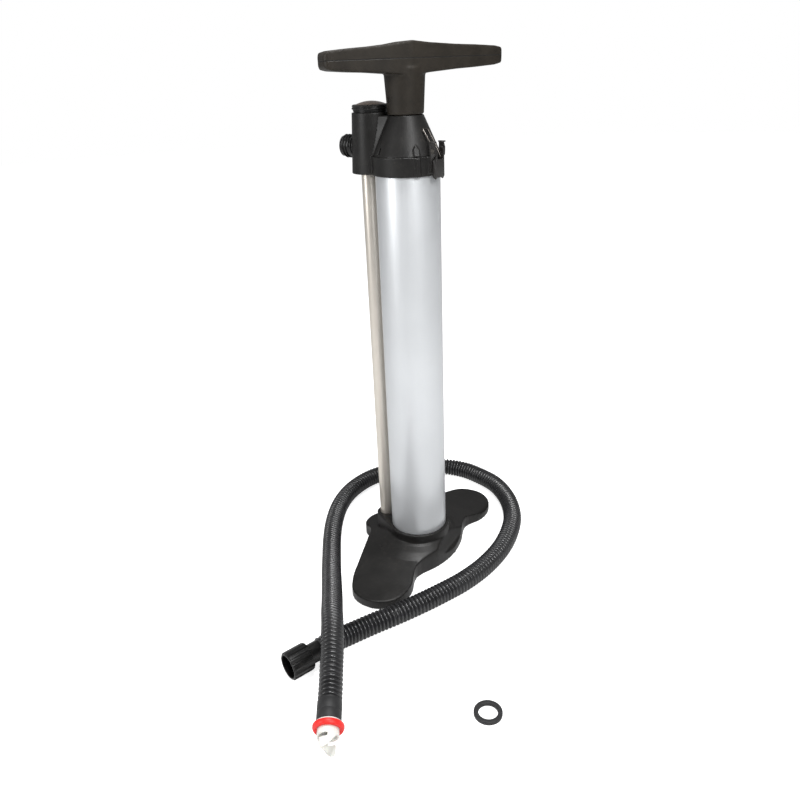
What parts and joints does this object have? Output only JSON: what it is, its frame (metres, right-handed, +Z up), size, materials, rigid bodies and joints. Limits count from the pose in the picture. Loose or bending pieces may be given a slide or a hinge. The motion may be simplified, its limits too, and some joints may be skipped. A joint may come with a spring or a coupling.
{
  "type": "double action hand pump",
  "caption": "Upright double action hand pump with a T handle, winged foot, side air tube, gauge turret, threaded outlet, latch, and a loose corrugated hose with a bayonet adapter.",
  "frame": {"origin": "on the cylinder's axis at floor level, in the middle of the cover under the foot", "axes": "+Z up along the cylinder, +Y towards the air tube, gauge and outlet, -Y towards the latch, the foot's wings along X"},
  "size_m": [0.5306, 0.3566, 0.594],
  "materials": {
    "black_plastic": "satin moulded, fine grain",
    "dark_plastic": "moulded nylon",
    "handle_plastic": "satin moulded, worn at the ends",
    "gloss_black": "glossy",
    "aluminium": "satin anodised",
    "warm_aluminium": "satin drawn tube",
    "steel": "zinc plated",
    "dark_steel": "black coated sheet steel",
    "rubber": "matt",
    "red_rubber": "soft silicone",
    "white_plastic": "moulded acetal",
    "dial_dark": "printed dial",
    "needle_red": "painted",
    "gauge_glass": "clear moulded lens",
    "hose_black": "glossy corrugated"
  },
  "bodies": {
    "root": {"foot": "black_plastic", "base_cover": "dark_plastic", "base_screws": "steel", "cylinder_tube": "aluminium", "lower_gasket": "rubber", "lower_valve_plate": "dark_plastic", "air_tube": "warm_aluminium", "air_tube_seals": "rubber", "head_body": "black_plastic", "head_hood": "black_plastic", "upper_gasket": "rubber", "upper_valve_plate": "dark_plastic", "rod_bush": "white_plastic", "rod_seal": "rubber", "outlet_port": "black_plastic", "outlet_seal": "rubber", "gauge_body": "black_plastic", "gauge_dial": "dial_dark", "gauge_glass": "gauge_glass", "gauge_bezel": "gloss_black", "latch_bracket": "dark_steel", "latch_screws": "steel", "latch_rivets": "steel", "hose": "hose_black", "hose_tail": "black_plastic", "adapter_cuff": "rubber", "adapter_collar": "white_plastic", "adapter_gasket": "red_rubber", "adapter_spigot": "white_plastic", "spare_gasket": "rubber"},
    "piston": {"piston": "dark_plastic", "piston_seals": "rubber"},
    "handle": {"piston_rod": "aluminium", "piston_nut": "steel", "handle_lower": "handle_plastic", "handle_upper": "handle_plastic", "handle_screws": "steel", "handle_pin": "steel"},
    "needle": {"gauge_needle": "needle_red"},
    "latch_lever": {"latch_lever": "dark_steel"},
    "latch_bail": {"latch_bail": "steel"},
    "hose_nut": {"hose_nut": "black_plastic", "nut_washer": "rubber"},
    "lower_intake": {"lower_intake_valve": "rubber"},
    "lower_delivery": {"lower_delivery_valve": "rubber"},
    "upper_intake": {"upper_intake_valve": "rubber"},
    "upper_delivery": {"upper_delivery_valve": "rubber"}
  },
  "joints": [
    {"name": "rod_slide", "type": "slide", "parent": "root", "child": "piston", "axis": [0, 0, 1], "range_m": [0, 0.415]},
    {"name": "handle_spin", "type": "hinge", "parent": "piston", "child": "handle", "pos_m": [0, 0, 0.05], "axis": [0, 0, 1], "continuous": true},
    {"name": "needle_turn", "type": "hinge", "parent": "root", "child": "needle", "pos_m": [0, 0.041, 0.5355], "axis": [0, 0, -1], "range_deg": [0, 270]},
    {"name": "latch_open", "type": "hinge", "parent": "root", "child": "latch_lever", "pos_m": [-0.00929, -0.04024, 0.494], "axis": [-0.9744, 0.225, 0], "range_deg": [0, 110]},
    {"name": "bail_turn", "type": "hinge", "parent": "latch_lever", "child": "latch_bail", "pos_m": [-0.00929, -0.04024, 0.4875], "axis": [-0.9744, 0.225, 0], "range_deg": [-110, 0]},
    {"name": "nut_spin", "type": "hinge", "parent": "root", "child": "hose_nut", "pos_m": [-0.226, 0, 0.0162], "axis": [-0.9272, 0.3746, 0], "continuous": true},
    {"name": "lower_intake_lift", "type": "slide", "parent": "root", "child": "lower_intake", "axis": [0, 0, 1], "range_m": [0, 0.002], "stiffness_N_per_m": 30},
    {"name": "lower_delivery_drop", "type": "slide", "parent": "root", "child": "lower_delivery", "axis": [0, 0, -1], "range_m": [0, 0.002], "stiffness_N_per_m": 30},
    {"name": "upper_intake_drop", "type": "slide", "parent": "root", "child": "upper_intake", "axis": [0, 0, -1], "range_m": [0, 0.002], "stiffness_N_per_m": 30},
    {"name": "upper_delivery_lift", "type": "slide", "parent": "root", "child": "upper_delivery", "axis": [0, 0, 1], "range_m": [0, 0.002], "stiffness_N_per_m": 30}
  ],
  "couplings": [
    {"joint": "bail_turn", "follows": "latch_open", "ratio": -1}
  ]
}
